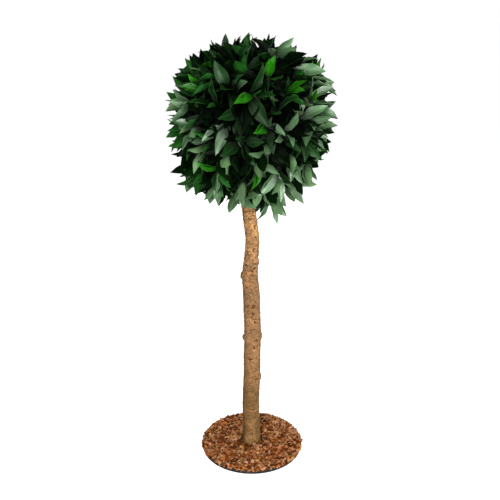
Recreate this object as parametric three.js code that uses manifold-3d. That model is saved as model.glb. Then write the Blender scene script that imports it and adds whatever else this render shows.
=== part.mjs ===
// A standard bay topiary, about 1.37 m tall: a made tree with a real wood stem, a clipped round head
// of long pointed leaves, and a round black dish dressed with bark chips that it stands in.
// Millimetres, +Z up. The origin is the middle of the dish's flat underside, and the front faces -Y.

import * as THREE from "three";
import { mergeVertices } from "three/addons/utils/BufferGeometryUtils.js";
import Module from "manifold-3d";

const wasm = await Module();
wasm.setup();

// Clearance between neighbouring pieces
const GAP = 0.3;

// The smallest detail that is kept where pieces are joined
const SLIVER = 0.1;

// Where each seeded stream of numbers starts
const SEEDS = { chips: 5, leaves: 59, twigs: 11, fill: 17 };

// The dish: a flat floor with a low upright rim, its edges rounded off a little
const DISH = { radius: 167, height: 15, floor: 5, wall: 3.5, sides: 40 };

// The bed of bark chips that fills the dish and stands a little over its rim
const BED = { edgeTop: 13, middleTop: 21 };
const CHIP = { count: 64, length: [24, 38], width: [11, 15], thickness: [5, 8], tilt: 0.22, proud: 2.5 };

// The stem's middle line and radius, from its foot on the dish's floor to its cut top inside the head
const STEM_STATIONS = [
  { z: 5, x: -1, y: 0, radius: 33 },
  { z: 40, x: -2, y: 0, radius: 30.5 },
  { z: 150, x: -4, y: 3, radius: 29 },
  { z: 310, x: 0, y: 6, radius: 28.5 },
  { z: 480, x: 0, y: 4, radius: 27.8 },
  { z: 570, x: -4, y: 0, radius: 27.3 },
  { z: 630, x: -7, y: -3, radius: 25.5 },
  { z: 690, x: -2, y: -4, radius: 22.5 },
  { z: 740, x: 1, y: -2, radius: 21.8 },
  { z: 800, x: -5, y: 0, radius: 22 },
  { z: 870, x: -13, y: 2, radius: 21 },
  { z: 960, x: -14, y: 2, radius: 19.5 },
  { z: 1100, x: -4, y: 0, radius: 17 },
];
const STEM = { sides: 12, rings: 66, ripple: 0.03 };

// Knots where side shoots were cut off: height, bearing round the stem (0 is +X, -90 the front), how
// far each stands out, and half its height
const KNOTS = [
  { z: 628, bearing: 190, out: 6.5, spread: 15 },
  { z: 655, bearing: -60, out: 2.5, spread: 10 },
  { z: 405, bearing: 182, out: 5, spread: 11 },
  { z: 410, bearing: 4, out: 4, spread: 12 },
  { z: 528, bearing: -75, out: 2.5, spread: 10 },
  { z: 262, bearing: -15, out: 3.5, spread: 12 },
  { z: 330, bearing: 95, out: 4, spread: 12 },
  { z: 770, bearing: 60, out: 3.5, spread: 12 },
];

// The head: a ball with slightly squared shoulders
const HEAD = { middle: 1122, radius: 245, halfHeight: 238, squareness: 2.6 };

// The share of the way to the head's outline at which its core starts and ends
const CORE = { inner: 0.5, outer: 0.7, around: 12, down: 8 };

// The leafy masses: one on top, and two rings of them, each on the end of its own bough, which rises
// that far from the stem
const RINGS = [
  { name: "top", count: 1, elevation: 90, turn: 0, rise: 0 },
  { name: "upper", count: 5, elevation: 22, turn: 18, rise: 64 },
  { name: "lower", count: 5, elevation: -32, turn: 54, rise: 32 },
];
const BOUGH = { root: 6.5, tip: 5, end: 0.42, sides: 6, rings: 4 };
const TWIG = { root: 4, tip: 3.2, end: 0.83 };

// The leaves' sprays, spread evenly over the whole head, and the leaves that stand between them
const SPRAY = {
  count: 84, // twigs that end in a spray
  leaves: 3, // leaves at the end of each
  fill: 900, // places on the cores where one more leaf is tried
  tries: 16, // turns tried before a leaf is given up
  wander: 1, // how far directions stray from an even spread
  inner: [0.1, 0.45], // how far a spray's first leaf opens, in radians
  outer: [0.85, 1.25], // how far its other leaves open
  lean: [0.65, 1.15], // how far a leaf between the sprays leans
  step: 5, // way down the twig from one leaf to the next
  sag: 0.1, // how much a leaf hangs, as a share of its length
  most: 1.035, // furthest reach, as a share of the outline
  overhang: 48, // furthest reach over the wall to the next mass
  offStem: 4, // room between the leaves and the stem
};

// One leaf: all but its length and how deep it is rooted are shares of the length
const LEAF = {
  length: [84, 104],
  width: 0.38,
  thickness: 0.018,
  belly: 0.45, // where it is widest
  spine: 0.2, // where it is thickest
  fold: 0.05, // how far its edges rise
  droop: 0.07, // how far its tip hangs
  sunk: 2, // how deep its root goes into a twig
  planted: 7, // how deep its root goes into a core
};

const COLOURS = {
  dish: new THREE.MeshStandardMaterial({ color: 0x1b1a19, roughness: 0.55, metalness: 0 }),
  chips: new THREE.MeshStandardMaterial({ color: 0x9a6238, roughness: 0.9, metalness: 0 }),
  wood: new THREE.MeshStandardMaterial({ color: 0xa9794b, roughness: 0.8, metalness: 0 }),
  leaf: new THREE.MeshStandardMaterial({ color: 0x1f4a24, roughness: 0.5, metalness: 0 }),
};

// A seeded stream of numbers from 0 to 1
function seeded(seed) {
  let state = seed >>> 0;
  return () => {
    state = (state + 0x6d2b79f5) >>> 0;
    let mixed = Math.imul(state ^ (state >>> 15), state | 1);
    mixed ^= mixed + Math.imul(mixed ^ (mixed >>> 7), mixed | 61);
    return ((mixed ^ (mixed >>> 14)) >>> 0) / 4294967296;
  };
}

const between = (random, [low, high]) => low + (high - low) * random();

// The turn from one to the next that spreads places evenly
const GOLDEN_ANGLE = Math.PI * (3 - Math.sqrt(5));

// A closed geometry as a solid that can be joined and cut
function solidOf(geometry) {
  const bare = geometry.clone();
  bare.deleteAttribute("normal");
  bare.deleteAttribute("uv");
  const merged = mergeVertices(bare, 1e-4);
  return new wasm.Manifold(
    new wasm.Mesh({
      numProp: 3,
      vertProperties: merged.attributes.position.array,
      triVerts: new Uint32Array(merged.index.array),
    }),
  );
}

// A solid as a geometry with flat faces
function geometryOf(solid) {
  const { numProp, numVert, vertProperties, triVerts } = solid.getMesh();
  const corners = new Float32Array(numVert * 3);
  for (let i = 0; i < numVert; i++) {
    corners.set(vertProperties.subarray(i * numProp, i * numProp + 3), i * 3);
  }
  const indexed = new THREE.BufferGeometry()
    .setAttribute("position", new THREE.BufferAttribute(corners, 3))
    .setIndex(new THREE.BufferAttribute(triVerts, 1));
  const flat = indexed.toNonIndexed();
  flat.computeVertexNormals();
  return flat;
}

// Pieces joined into one body, without slivers and without the scraps that touch nothing or only
// touch at a corner
function joined(solids) {
  const whole = wasm.Manifold.union(solids).simplify(SLIVER);
  const bodies = solidOf(geometryOf(whole)).decompose();
  return bodies.reduce((most, body) => (body.volume() > most.volume() ? body : most));
}

// True if a solid runs into none of the others
const clearOf = (others, solid) => others.every((other) => other.intersect(solid).isEmpty());

function meshOf(name, solid, material) {
  const mesh = new THREE.Mesh(geometryOf(solid), material);
  mesh.name = name;
  return mesh;
}

// Moves every corner of a geometry by a rule
function reshaped(geometry, rule) {
  const place = geometry.getAttribute("position");
  const corner = new THREE.Vector3();
  for (let i = 0; i < place.count; i++) {
    rule(corner.fromBufferAttribute(place, i));
    place.setXYZ(i, corner.x, corner.y, corner.z);
  }
  return geometry;
}

// A turned shape about Z from its half section
function turned(outline, sides) {
  const section = outline.map(([radius, height]) => new THREE.Vector2(radius, height));
  return new THREE.LatheGeometry(section, sides).rotateX(Math.PI / 2);
}

// The dish

function dishSolid() {
  const { radius, height, floor, wall, sides } = DISH;
  return solidOf(
    turned(
      [
        [0, 0],
        [radius - 1, 0],
        [radius, 1],
        [radius, height - 1],
        [radius - 1, height],
        [radius - wall + 1, height],
        [radius - wall, height - 1],
        [radius - wall, floor],
        [0, floor],
      ],
      sides,
    ),
  );
}

// The stem

const stemLine = new THREE.CatmullRomCurve3(
  STEM_STATIONS.map(({ z, x, y }) => new THREE.Vector3(x, y, z)),
);
const stemRadii = new THREE.CatmullRomCurve3(
  STEM_STATIONS.map(({ z, radius }) => new THREE.Vector3(radius, 0, z)),
);
const STEM_FOOT = STEM_STATIONS[0].z;
const STEM_TOP = STEM_STATIONS[STEM_STATIONS.length - 1].z;

// The share of a curve's own parameter at which it reaches a height
function shareAtHeight(curve, height) {
  let [low, high] = [0, 1];
  for (let step = 0; step < 24; step++) {
    const middle = (low + high) / 2;
    if (curve.getPoint(middle).z < height) low = middle;
    else high = middle;
  }
  return (low + high) / 2;
}

function stemAt(height) {
  const middle = stemLine.getPoint(shareAtHeight(stemLine, height));
  return { middle, radius: stemRadii.getPoint(shareAtHeight(stemRadii, height)).x };
}

// How far the knots swell the stem at a height and bearing
function knotSwell(height, bearing) {
  return KNOTS.reduce((sum, knot) => {
    const up = (height - knot.z) / knot.spread;
    const turn = Math.cos(bearing - THREE.MathUtils.degToRad(knot.bearing));
    const across = Math.max(0, 1 - turn) * 7;
    return sum + knot.out * Math.exp(-up * up - across);
  }, 0);
}

// The whole stem, or with some growth the room that it needs
function stemSolid(growth = 0) {
  const shaft = new THREE.CylinderGeometry(1, 1, 1, STEM.sides, STEM.rings).rotateX(Math.PI / 2);
  return solidOf(
    reshaped(shaft, (corner) => {
      const height = STEM_FOOT + (corner.z + 0.5) * (STEM_TOP - STEM_FOOT);
      const { middle, radius } = stemAt(height);
      const bearing = Math.atan2(corner.y, corner.x);
      const ripple = 1 + STEM.ripple * Math.sin(3 * bearing + height / 70) * Math.sin(height / 43);
      const reach = Math.hypot(corner.x, corner.y) * (radius * ripple + knotSwell(height, bearing) + growth);
      corner.set(middle.x + reach * Math.cos(bearing), middle.y + reach * Math.sin(bearing), height);
    }),
  );
}

// The bed of bark chips

function bedTop(radius) {
  const share = Math.min(1, radius / (DISH.radius - DISH.wall));
  return BED.middleTop + (BED.edgeTop - BED.middleTop) * share * share;
}

// One chip: a box with its ends and edges cut uneven
function chipSolid(random) {
  const [length, width, thickness] = [CHIP.length, CHIP.width, CHIP.thickness].map((range) =>
    between(random, range),
  );
  const box = new THREE.BoxGeometry(length, width, thickness);
  const slants = [random(), random(), random()].map((value) => (value - 0.5) * 0.5);
  return solidOf(
    reshaped(box, (corner) => {
      corner.x += slants[0] * corner.y;
      corner.y *= 1 - 0.3 * Math.sign(corner.x) * slants[1] - 0.2 * Math.sign(corner.z);
      corner.z += slants[2] * thickness * Math.sign(corner.x * corner.y);
    }),
  );
}

function bedSolid(stemRoom) {
  const random = seeded(SEEDS.chips);
  const edge = DISH.radius - DISH.wall - GAP;
  const steps = [0, 0.35, 0.7, 1].map((share) => [edge * share, bedTop(edge * share)]);
  const floor = DISH.floor + GAP;
  const bed = solidOf(turned([[0, floor], [edge, floor], ...steps.reverse()], DISH.sides));
  const foot = stemAt(STEM_FOOT).radius;
  const chips = [];
  for (let i = 0; i < CHIP.count; i++) {
    // Spread evenly from the stem's foot to the rim, without one chip through another
    const share = Math.sqrt((i + 0.5) / CHIP.count);
    const radius = foot + (edge - foot - CHIP.length[1] / 2) * share;
    const bearing = i * GOLDEN_ANGLE;
    const turn = new THREE.Euler(
      (random() - 0.5) * 2 * CHIP.tilt,
      (random() - 0.5) * 2 * CHIP.tilt,
      random() * Math.PI,
      "ZYX",
    );
    const place = new THREE.Vector3(
      radius * Math.cos(bearing),
      radius * Math.sin(bearing),
      bedTop(radius) + CHIP.proud - CHIP.thickness[0] / 2,
    );
    const matrix = new THREE.Matrix4().makeRotationFromEuler(turn).setPosition(place);
    const chip = chipSolid(random).transform(matrix.elements);
    if (clearOf(chips, chip)) chips.push(chip);
  }
  return joined([joined([bed, ...chips]).subtract(stemRoom)]);
}

// The head's frame: every piece of it is placed from its middle

// The distance to the head's clipped outline in one direction
function outlineReach(direction) {
  const flat = Math.hypot(direction.x, direction.y) / HEAD.radius;
  const up = Math.abs(direction.z) / HEAD.halfHeight;
  return (flat ** HEAD.squareness + up ** HEAD.squareness) ** (-1 / HEAD.squareness);
}

// How far out a place is, as a share of the way to the outline
function outlineShare(place) {
  return place.length() / outlineReach(place.clone().normalize());
}

const masses = RINGS.flatMap(({ name, count, elevation, turn, rise }) =>
  Array.from({ length: count }, (_, i) => {
    const up = THREE.MathUtils.degToRad(elevation);
    const bearing = THREE.MathUtils.degToRad(turn + (360 * i) / count);
    const heading = new THREE.Vector3(
      Math.cos(up) * Math.cos(bearing),
      Math.cos(up) * Math.sin(bearing),
      Math.sin(up),
    );
    return { name: count > 1 ? name + "_" + (i + 1) : name, heading, rise };
  }),
);

// Each mass's own space is bounded by planes half way to its neighbours, and its twigs branch from a
// hub in the middle of its core
for (const mass of masses) {
  const middleShare = (CORE.inner + CORE.outer) / 2;
  mass.hub = mass.heading.clone().multiplyScalar(outlineReach(mass.heading) * middleShare);
  mass.walls = masses
    .filter((other) => other !== mass)
    .map((other) => mass.heading.clone().sub(other.heading).normalize());
}

const insideWalls = (walls, corner, margin) => walls.every((wall) => wall.dot(corner) > margin);

// A round limb that tapers along a curve
function limbSolid(curve, rootRadius, tipRadius, sides, rings) {
  const frames = curve.computeFrenetFrames(rings);
  const shaft = new THREE.CylinderGeometry(1, 1, 1, sides, rings).rotateX(Math.PI / 2);
  return solidOf(
    reshaped(shaft, (corner) => {
      const share = corner.z + 0.5;
      const ring = Math.round(share * rings);
      const radius = rootRadius + (tipRadius - rootRadius) * share;
      const across = frames.normals[ring].clone().multiplyScalar(corner.x * radius);
      const beside = frames.binormals[ring].clone().multiplyScalar(corner.y * radius);
      corner.copy(curve.getPointAt(share)).add(across).add(beside);
    }),
  );
}

// Where a mass's bough ends and its own stem begins
const boughEnd = ({ heading }) => heading.clone().multiplyScalar(outlineReach(heading) * BOUGH.end);

// A bough leaves the stem lower than its end and rises outwards; the top one goes on from the stem
function boughCurve(mass) {
  const end = boughEnd(mass);
  if (mass.heading.z > 0.99) {
    const { middle } = stemAt(STEM_TOP);
    const start = new THREE.Vector3(middle.x, middle.y, STEM_TOP + GAP - HEAD.middle);
    return new THREE.QuadraticBezierCurve3(start, new THREE.Vector3(middle.x, middle.y, 0), end);
  }
  const height = end.z - mass.rise;
  const { middle, radius } = stemAt(HEAD.middle + height);
  const outward = new THREE.Vector3(end.x - middle.x, end.y - middle.y, 0).normalize();
  const start = new THREE.Vector3(middle.x, middle.y, height).addScaledVector(outward, radius * 0.6);
  const bend = start.clone().lerp(end, 0.5).add(new THREE.Vector3(0, 0, -mass.rise / 4));
  return new THREE.QuadraticBezierCurve3(start, bend, end);
}

function boughSolid(mass, stemRoom) {
  const limb = limbSolid(boughCurve(mass), BOUGH.root, BOUGH.tip, BOUGH.sides, BOUGH.rings);
  return joined([limb.subtract(stemRoom)]);
}

// The core of one mass: its share of a thick shell round the middle of the head
function coreSolid(walls, stemRoom) {
  const ball = (share) => {
    const round = new THREE.SphereGeometry(1, CORE.around, CORE.down).rotateX(Math.PI / 2);
    return solidOf(
      reshaped(round, (corner) => {
        const heading = corner.clone().normalize();
        corner.copy(heading.multiplyScalar(outlineReach(heading) * share));
      }),
    );
  };
  const shell = ball(CORE.outer).subtract(ball(CORE.inner)).subtract(stemRoom);
  return walls.reduce((rest, wall) => rest.trimByPlane(wall.toArray(), GAP / 2), shell);
}

// The corners of a thin pointed leaf: an octahedron drawn out along `ahead`, folded at its midrib
function leafCorners(length, growth = 0) {
  const half = (length * LEAF.width) / 2 + growth;
  const thick = (length * LEAF.thickness) / 2 + growth;
  const belly = length * LEAF.belly;
  const spine = length * LEAF.spine;
  return {
    tip: new THREE.Vector3(length + growth, 0, -length * LEAF.droop),
    root: new THREE.Vector3(-growth, 0, 0),
    left: new THREE.Vector3(belly, half, length * LEAF.fold),
    right: new THREE.Vector3(belly, -half, length * LEAF.fold),
    ridge: new THREE.Vector3(spine, 0, thick),
    keel: new THREE.Vector3(spine, 0, -thick),
  };
}

function leafSolid(length, place, growth = 0) {
  const { tip, root, left, right, ridge, keel } = leafCorners(length, growth);
  const blade = reshaped(new THREE.OctahedronGeometry(1), (corner) => {
    if (corner.x > 0.5) corner.copy(tip);
    else if (corner.x < -0.5) corner.copy(root);
    else if (corner.y > 0.5) corner.copy(left);
    else if (corner.y < -0.5) corner.copy(right);
    else corner.copy(corner.z > 0 ? ridge : keel);
  });
  return solidOf(blade.applyMatrix4(place));
}

// A straight three-sided twig between two places
function twigSolid(root, tip, growth = 0) {
  const along = tip.clone().sub(root);
  const shaft = new THREE.CylinderGeometry(TWIG.tip + growth, TWIG.root + growth, along.length(), 3);
  const turn = new THREE.Quaternion().setFromUnitVectors(
    new THREE.Vector3(0, 1, 0),
    along.clone().normalize(),
  );
  shaft.applyQuaternion(turn);
  const middle = root.clone().add(tip).multiplyScalar(0.5);
  shaft.translate(middle.x, middle.y, middle.z);
  return solidOf(shaft);
}

// Directions spread evenly over a ball, each with a little seeded wander
function evenHeadings(count, seed) {
  const random = seeded(seed);
  const wander = () => ((random() - 0.5) * SPRAY.wander) / Math.sqrt(count);
  return Array.from({ length: count }, (_, i) => {
    const z = 1 - (2 * (i + 0.5)) / count;
    const flat = Math.sqrt(1 - z * z);
    const bearing = i * GOLDEN_ANGLE;
    return new THREE.Vector3(
      flat * Math.cos(bearing) + wander(),
      flat * Math.sin(bearing) + wander(),
      z + wander(),
    ).normalize();
  });
}

// The twigs of one mass, from its own hub to the middle of each of its sprays
function twigsOf(mass, headings, stem) {
  const nearest = headings.filter((heading) =>
    masses.every((other) => heading.dot(mass.heading) >= heading.dot(other.heading)),
  );
  return nearest
    .map((heading) => {
      const tip = heading.clone().multiplyScalar(outlineReach(heading) * TWIG.end);
      const solid = twigSolid(mass.hub, tip);
      const middle = tip.clone().lerp(mass.hub, 0.3);
      return { mass, heading, tip, solid, middle, reach: LEAF.length[1] * 1.3 };
    })
    .filter(({ tip, solid }) => insideWalls(mass.walls, tip, TWIG.root * 2) && clearOf([stem.solid], solid));
}

// A leaf on its holder, a twig or a core, if it has room there: inside the head's outline, over the
// walls only a little, and through nothing else that is taken
function leafOn(holder, length, place, taken) {
  const { tip, left, right, ridge, keel } = leafCorners(length);
  const free = [tip, left, right, tip.clone().lerp(keel, 0.5)];
  for (const corner of [...free, ridge, keel]) corner.applyMatrix4(place);
  const shares = free.map(outlineShare);
  const clear =
    free.every((corner) => insideWalls(holder.mass.walls, corner, -SPRAY.overhang)) &&
    Math.max(...shares) < SPRAY.most &&
    Math.min(...shares) > CORE.outer + 0.02;
  if (!clear) return null;
  const middle = left.clone().lerp(right, 0.5);
  const near = taken.filter((other) => other !== holder && other.middle.distanceTo(middle) < other.reach);
  const solid = leafSolid(length, place);
  const room = leafSolid(length, place, GAP + 0.1);
  const fits = near.every((other) => {
    const blade = other.holder === holder ? solid : room;
    return other.solid.intersect(blade).isEmpty();
  });
  return fits ? { mass: holder.mass, holder, solid, middle, reach: LEAF.length[1] * 1.1 } : null;
}

// The frame of a leaf that runs `ahead` from its root with its top turned to `up`
function leafFrame(root, ahead, up) {
  const face = up.clone().addScaledVector(ahead, -up.dot(ahead)).normalize();
  const across = new THREE.Vector3().crossVectors(face, ahead);
  return new THREE.Matrix4().makeBasis(ahead, across, face).setPosition(root);
}

// The direction that leans away from an axis by an angle, towards a bearing round it
function leaning(axis, angle, bearing) {
  const side = new THREE.Vector3().crossVectors(axis, new THREE.Vector3(0.3, 0.2, 1)).normalize();
  const spoke = side.applyAxisAngle(axis, bearing);
  const ahead = axis.clone().multiplyScalar(Math.cos(angle)).addScaledVector(spoke, Math.sin(angle));
  ahead.z -= SPRAY.sag;
  return { ahead: ahead.normalize(), spoke };
}

// One leaf of a twig's spray, tried at seeded turns: the first stands up in the middle, the others
// spread round it
function sprayLeaf(twig, order, random, taken) {
  const axis = twig.tip.clone().sub(twig.mass.hub).normalize().lerp(twig.heading, 0.6).normalize();
  for (let attempt = 0; attempt < SPRAY.tries; attempt++) {
    const bearing = (order / SPRAY.leaves) * 2 * Math.PI + (random() - 0.5) * (0.6 + attempt * 0.3);
    const { ahead, spoke } = leaning(axis, between(random, order === 0 ? SPRAY.inner : SPRAY.outer), bearing);
    const root = twig.tip
      .clone()
      .addScaledVector(axis, -LEAF.sunk - SPRAY.step * order)
      .addScaledVector(ahead, -LEAF.sunk);
    const place = leafFrame(root, ahead, order === 0 ? spoke : axis);
    const leaf = leafOn(twig, between(random, LEAF.length), place, taken);
    if (leaf) return leaf;
  }
  return null;
}

// One leaf that stands straight out of a core, to close the crown between the sprays
function coreLeaf(cores, heading, random, taken) {
  const core = cores.reduce((most, other) =>
    heading.dot(other.mass.heading) > heading.dot(most.mass.heading) ? other : most,
  );
  const root = heading.clone().multiplyScalar(outlineReach(heading) * CORE.outer - LEAF.planted);
  if (!insideWalls(core.mass.walls, root, LEAF.planted)) return null;
  for (let attempt = 0; attempt < SPRAY.tries; attempt++) {
    const { ahead } = leaning(heading, between(random, SPRAY.lean), random() * 2 * Math.PI);
    const leaf = leafOn(core, between(random, LEAF.length), leafFrame(root, ahead, heading), taken);
    if (leaf) return leaf;
  }
  return null;
}

// The core, twigs and leaves of every mass, the leaves grown in turn so that none takes all the room
function growHead(stemRoom) {
  const random = seeded(SEEDS.leaves);
  const cores = masses.map((mass) => {
    const solid = coreSolid(mass.walls, stemRoom);
    return { mass, solid, middle: mass.hub, reach: HEAD.radius };
  });
  const stem = { solid: stemSolid(SPRAY.offStem).translate([0, 0, -HEAD.middle]), reach: Infinity };
  stem.middle = new THREE.Vector3();
  const twigs = masses.flatMap((mass) => twigsOf(mass, evenHeadings(SPRAY.count, SEEDS.twigs), stem));
  const grown = [stem, ...cores, ...twigs];
  const keep = (leaf) => leaf && grown.push(leaf);
  for (let order = 0; order < SPRAY.leaves; order++) {
    for (const twig of twigs) keep(sprayLeaf(twig, order, random, grown));
  }
  for (const heading of evenHeadings(SPRAY.fill, SEEDS.fill)) keep(coreLeaf(cores, heading, random, grown));
  return grown;
}

// One leafy mass: its own stem from the bough's end, its core, its twigs and their leaves
function massSolid(mass, grown) {
  const end = boughCurve(mass).getPoint(1);
  const ahead = boughCurve(mass).getTangent(1);
  const start = end.clone().addScaledVector(ahead, GAP);
  const bend = start.clone().addScaledVector(ahead, 12);
  const line = new THREE.QuadraticBezierCurve3(start, bend, mass.hub);
  const ownStem = limbSolid(line, BOUGH.tip, BOUGH.tip - 1.5, BOUGH.sides, 3);
  return joined([ownStem, ...grown.filter((piece) => piece.mass === mass).map(({ solid }) => solid)]);
}

// The whole tree

const tree = new THREE.Group();
const stemRoom = stemSolid(GAP);
tree.add(
  meshOf("base_dish", dishSolid(), COLOURS.dish),
  meshOf("bark_bed", bedSolid(stemRoom), COLOURS.chips),
  meshOf("trunk", stemSolid(), COLOURS.wood),
);

const head = new THREE.Group();
head.position.z = HEAD.middle;
const roomInHead = stemRoom.translate([0, 0, -HEAD.middle]);
const grown = growHead(roomInHead);
for (const mass of masses) {
  head.add(
    meshOf("bough_" + mass.name, boughSolid(mass, roomInHead), COLOURS.wood),
    meshOf("foliage_" + mass.name, massSolid(mass, grown), COLOURS.leaf),
  );
}
tree.add(head);

export default tree;
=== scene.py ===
"""An artificial bay standard: a clipped ball of leaves on a natural stem, in a low dish of bark chips."""

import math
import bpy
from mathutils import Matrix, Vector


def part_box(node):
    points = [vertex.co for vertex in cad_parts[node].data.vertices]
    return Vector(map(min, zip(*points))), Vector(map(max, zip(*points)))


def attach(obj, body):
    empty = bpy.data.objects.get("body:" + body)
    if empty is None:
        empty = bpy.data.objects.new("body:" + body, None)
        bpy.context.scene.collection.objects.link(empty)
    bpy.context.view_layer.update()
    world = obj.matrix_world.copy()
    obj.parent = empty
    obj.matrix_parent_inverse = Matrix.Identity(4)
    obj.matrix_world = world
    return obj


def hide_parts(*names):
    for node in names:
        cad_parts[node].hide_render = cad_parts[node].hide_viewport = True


bl_info = {
    "name": "Standard Bay Topiary",
    "version": (1, 0, 0),
    "blender": (4, 5, 0),
    "location": "3D View > Sidebar > Bay Topiary",
    "description": "Builds a bay standard with its stem, boughs, twigs, leaves and dish of bark chips",
    "category": "Add Mesh",
}

import bmesh
import bpy
import numpy as np
from bpy.props import FloatProperty, FloatVectorProperty, IntProperty, PointerProperty
from bpy.types import Operator, Panel, PropertyGroup
from mathutils import Vector, noise
from mathutils.bvhtree import BVHTree

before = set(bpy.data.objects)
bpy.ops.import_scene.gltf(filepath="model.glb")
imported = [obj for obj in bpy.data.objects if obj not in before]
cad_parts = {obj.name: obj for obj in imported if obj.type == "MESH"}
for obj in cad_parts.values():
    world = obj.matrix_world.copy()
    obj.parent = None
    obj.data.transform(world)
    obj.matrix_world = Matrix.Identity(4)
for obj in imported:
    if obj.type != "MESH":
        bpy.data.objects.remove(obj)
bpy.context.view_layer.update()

MM = 0.001
GOLDEN_ANGLE = math.pi * (3 - math.sqrt(5))

# The largest number of 32 bits
WORD = 0xFFFFFFFF

# The dish of the solids: the thickness of its floor and of its wall
DISH_FLOOR = 5 * MM
DISH_WALL = 3.5 * MM

# The height of the bed of bark inside it, at its edge and in its middle
BED_EDGE = 12 * MM
BED_MIDDLE = 19 * MM

# The bark chips: their layers, the pieces they are joined to, those on the rim, and how common each tone is
CHIP_LAYERS = 3
CHIP_PIECES = 6
RIM_CHIPS = 170
CHIP_TONES = {"orange": 4, "pink": 4, "tan": 2, "brown": 4, "dark": 3}

# The stem's middle line and radius in millimetres: height, x, y, radius
STEM_STATIONS = np.array(
    [
        (5, -1, 0, 33),
        (40, -1.2, 0, 30),
        (150, -2.8, 3, 28.3),
        (310, 1.2, 6, 27.8),
        (480, 1.4, 4, 27.1),
        (570, -2.8, 0, 26.8),
        (630, -6.2, -3, 25.3),
        (690, -2, -4, 22.5),
        (740, 1, -2, 21.8),
        (800, -5, 0, 22),
        (870, -13, 2, 21),
        (960, -14, 2, 19.5),
        (1100, -4, 0, 17),
    ]
)

# How far the stem's round is rippled, as a share of its radius
STEM_RIPPLE = 0.03

# Knots in millimetres and degrees: height, bearing, how far each stands out, half its height
KNOTS = [
    (626, 190, 5, 11),
    (672, -8, 3, 10),
    (405, 182, 6, 8),
    (410, 4, 4, 10),
    (528, -75, 2.5, 10),
    (262, -15, 3.5, 12),
    (330, 95, 4, 12),
    (770, 60, 3.5, 12),
]

# Small scars where buds were rubbed off: height, bearing, half height, half width, depth
SCARS = [
    (666, -129, 4, 6.5, 2.0),
    (656, -58, 4, 5.5, 2.2),
    (527, -80, 7, 5.5, 3.0),
    (500, -81, 4.5, 4.5, 2.4),
    (470, -72, 4, 4, 2.0),
    (445, -76, 3, 4, 1.4),
    (379, -80, 4, 4.5, 2.4),
    (336, -107, 3, 8, 1.8),
    (262, -54, 3, 9, 1.6),
    (209, -150, 2.5, 8, 1.2),
    (598, -95, 2.5, 5, 1.0),
    (700, 20, 3, 6, 1.6),
    (560, 120, 3, 6, 1.8),
    (440, 80, 3, 5, 1.8),
    (300, 60, 2.5, 8, 1.4),
    (180, 140, 3, 6, 1.6),
    (120, 30, 2.5, 7, 1.4),
]

# The head: the height of its middle, its half width, how far it reaches above and below its middle, and
# how square its shoulders are
HEAD_MIDDLE = 1.122
HEAD_RADIUS = 0.245
HEAD_HALF_HEIGHT = 0.238
HEAD_HEM = 0.273
HEAD_SQUARENESS = 3.0

# The leafy masses: name, count, elevation, first bearing, how far each bough rises from the stem
RINGS = [
    ("top", 1, 90, 0, 0),
    ("upper", 5, 22, 18, 0.064),
    ("lower", 5, -32, 54, 0.032),
]

# How far out the boughs end and the masses' hubs lie, as shares of the way to the outline
BOUGH_END = 0.42
HUB = 0.6

# How many main twigs the solids have
MAIN_TWIGS = 84

# How far leaves and fine twigs keep clear of the stem
STEM_GAP = 0.004

# The radii of the boughs, the main twigs and the fine twigs, from the root of each to its end
BOUGH_RADII = (0.0066, 0.0036)
MAIN_TWIG_RADII = (0.0032, 0.0022)
FINE_TWIG_RADII = (0.0019, 0.0017, 0.0015, 0.0011)

# The kinds of leaf, in the order of their materials; the deep and inner kinds are painted shade, the dark
# leaf's colour taken near to black
DEEP_SHADE, DARK, MIDDLE, YOUNG, INNER_SHADE = range(5)

# How near the middles of two leaves lie that may touch, and the rows of corners in their coarse blades
NEIGHBOUR = 0.085
BLADE_ROWS = 7

# The seeds of the streams of numbers; the main twigs' is the solids' own
MAIN_TWIG_SEED = 11
FINE_TWIG_SEED = 13
SPRAY_SEED = 29
LEAF_SEED = 44
CHIP_SEED = 7

# Where the clipped ball stands out or is cut back: bearing, elevation, half width in degrees, share
SWELLS = [
    (180, 50, 20, -0.12),
    (40, 58, 16, -0.05),
    (0, 44, 20, -0.07),
    (90, 40, 20, -0.07),
    (-90, 88, 30, -0.03),
    (0, -38, 18, -0.125),
    (-10, -54, 14, -0.10),
    (5, 5, 18, -0.025),
    (120, -38, 18, -0.08),
    (185, -48, 18, 0.06),
    (-62, -67, 12, 0.13),
    (-104, -70, 10, -0.08),
    (65, -40, 20, -0.09),
    (100, -60, 16, 0.06),
    (-90, 45, 20, -0.05),
]

# Where fresh shoots stand on the head: bearing and elevation in degrees
FRESH_SHOOTS = [
    (-153, 25), (-146, 34), (-142, 45), (-73, 44), (-52, 29), (-97, 21), (-87, -37),
    (-84, 1), (-125, -24), (-23, 41), (-42, 22), (20, 30), (55, 10), (80, 42),
    (120, -5), (150, 35), (175, -20), (-10, -25), (100, 70), (35, -40),
]

# The place that the lights face
AIM = Vector((0, 0, 0.8))

# The camera: where it stands, how far down it looks in degrees, and its lens in millimetres
CAMERA_PLACE = (-0.006, -2.199, 1.5)
CAMERA_TILT = 19.8
CAMERA_LENS = 54


def seeded(seed):
    """The solids' own stream of numbers from 0 to 1, so that twigs grow where theirs do."""
    state = seed & WORD

    def draw():
        nonlocal state
        state = (state + 0x6D2B79F5) & WORD
        mixed = ((state ^ (state >> 15)) * (state | 1)) & WORD
        mixed ^= (mixed + ((mixed ^ (mixed >> 7)) * (mixed | 61) & WORD)) & WORD
        return ((mixed ^ (mixed >> 14)) & WORD) / (WORD + 1)

    return draw


def between(random, low, high):
    """A seeded value from low to high."""
    return low + (high - low) * random()


# Objects


def only(piece):
    """Make one object the active one and the only one selected."""
    bpy.ops.object.select_all(action="DESELECT")
    piece.select_set(True)
    bpy.context.view_layer.objects.active = piece


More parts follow.
